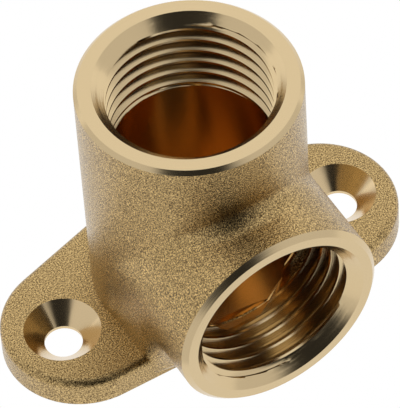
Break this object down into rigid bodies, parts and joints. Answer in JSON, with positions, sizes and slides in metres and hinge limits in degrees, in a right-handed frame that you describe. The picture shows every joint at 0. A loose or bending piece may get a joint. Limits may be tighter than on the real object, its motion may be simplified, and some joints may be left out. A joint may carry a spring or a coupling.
{
  "type": "wall plate elbow",
  "caption": "Right-angle brass pipe fitting with threaded sockets, cast onto a flat wall plate with countersunk screw lugs.",
  "frame": {"origin": "centre of the plate's wall face, under the axis of the upper socket", "axes": "+Z out of the wall along the upper socket, -Y out of the side socket's mouth, X along the plate from one screw lug to the other"},
  "size_m": [0.0504, 0.0323, 0.0349],
  "materials": {
    "brass": "blasted casting with machined rims, threads and screw seats"
  },
  "bodies": {
    "root": {"elbow_body": "brass"}
  },
  "joints": []
}
